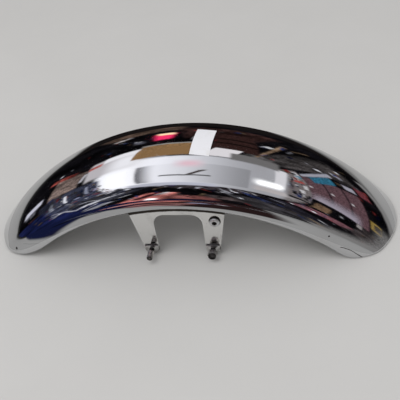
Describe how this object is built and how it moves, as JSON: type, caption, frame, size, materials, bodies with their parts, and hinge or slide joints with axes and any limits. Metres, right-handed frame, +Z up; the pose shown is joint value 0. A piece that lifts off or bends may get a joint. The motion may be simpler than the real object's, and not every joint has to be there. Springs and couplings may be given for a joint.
{
  "type": "motorcycle front mudguard",
  "caption": "Arched chromed steel front mudguard with rounded ends, a turned-in edge and a welded saddle bracket whose legs carry threaded studs for the fork lugs.",
  "frame": {"origin": "on the surface that the two ends stand on, midway between the ends and between the sides", "axes": "+X from the front end to the rear end, +Y from the left side to the right side, +Z up; the wheel axle lies along Y below the origin"},
  "size_m": [0.5494, 0.184, 0.1335],
  "materials": {
    "chromed_shell": "mirror chrome with light wear",
    "chromed_bracket": "chrome over a plain pressing",
    "stud_steel": "dull dark steel",
    "screw_chrome": "bright plated",
    "nut_zinc": "zinc plated",
    "white_paper": "matt"
  },
  "bodies": {
    "root": {"mudguard_shell": "chromed_shell", "fork_bracket": "chromed_bracket", "left_front_stud": "stud_steel", "left_rear_stud": "stud_steel", "right_front_stud": "stud_steel", "right_rear_stud": "stud_steel", "left_rear_nut": "stud_steel", "hose_screw": "screw_chrome", "hose_screw_nut": "nut_zinc", "paper_strip": "white_paper"}
  },
  "joints": []
}
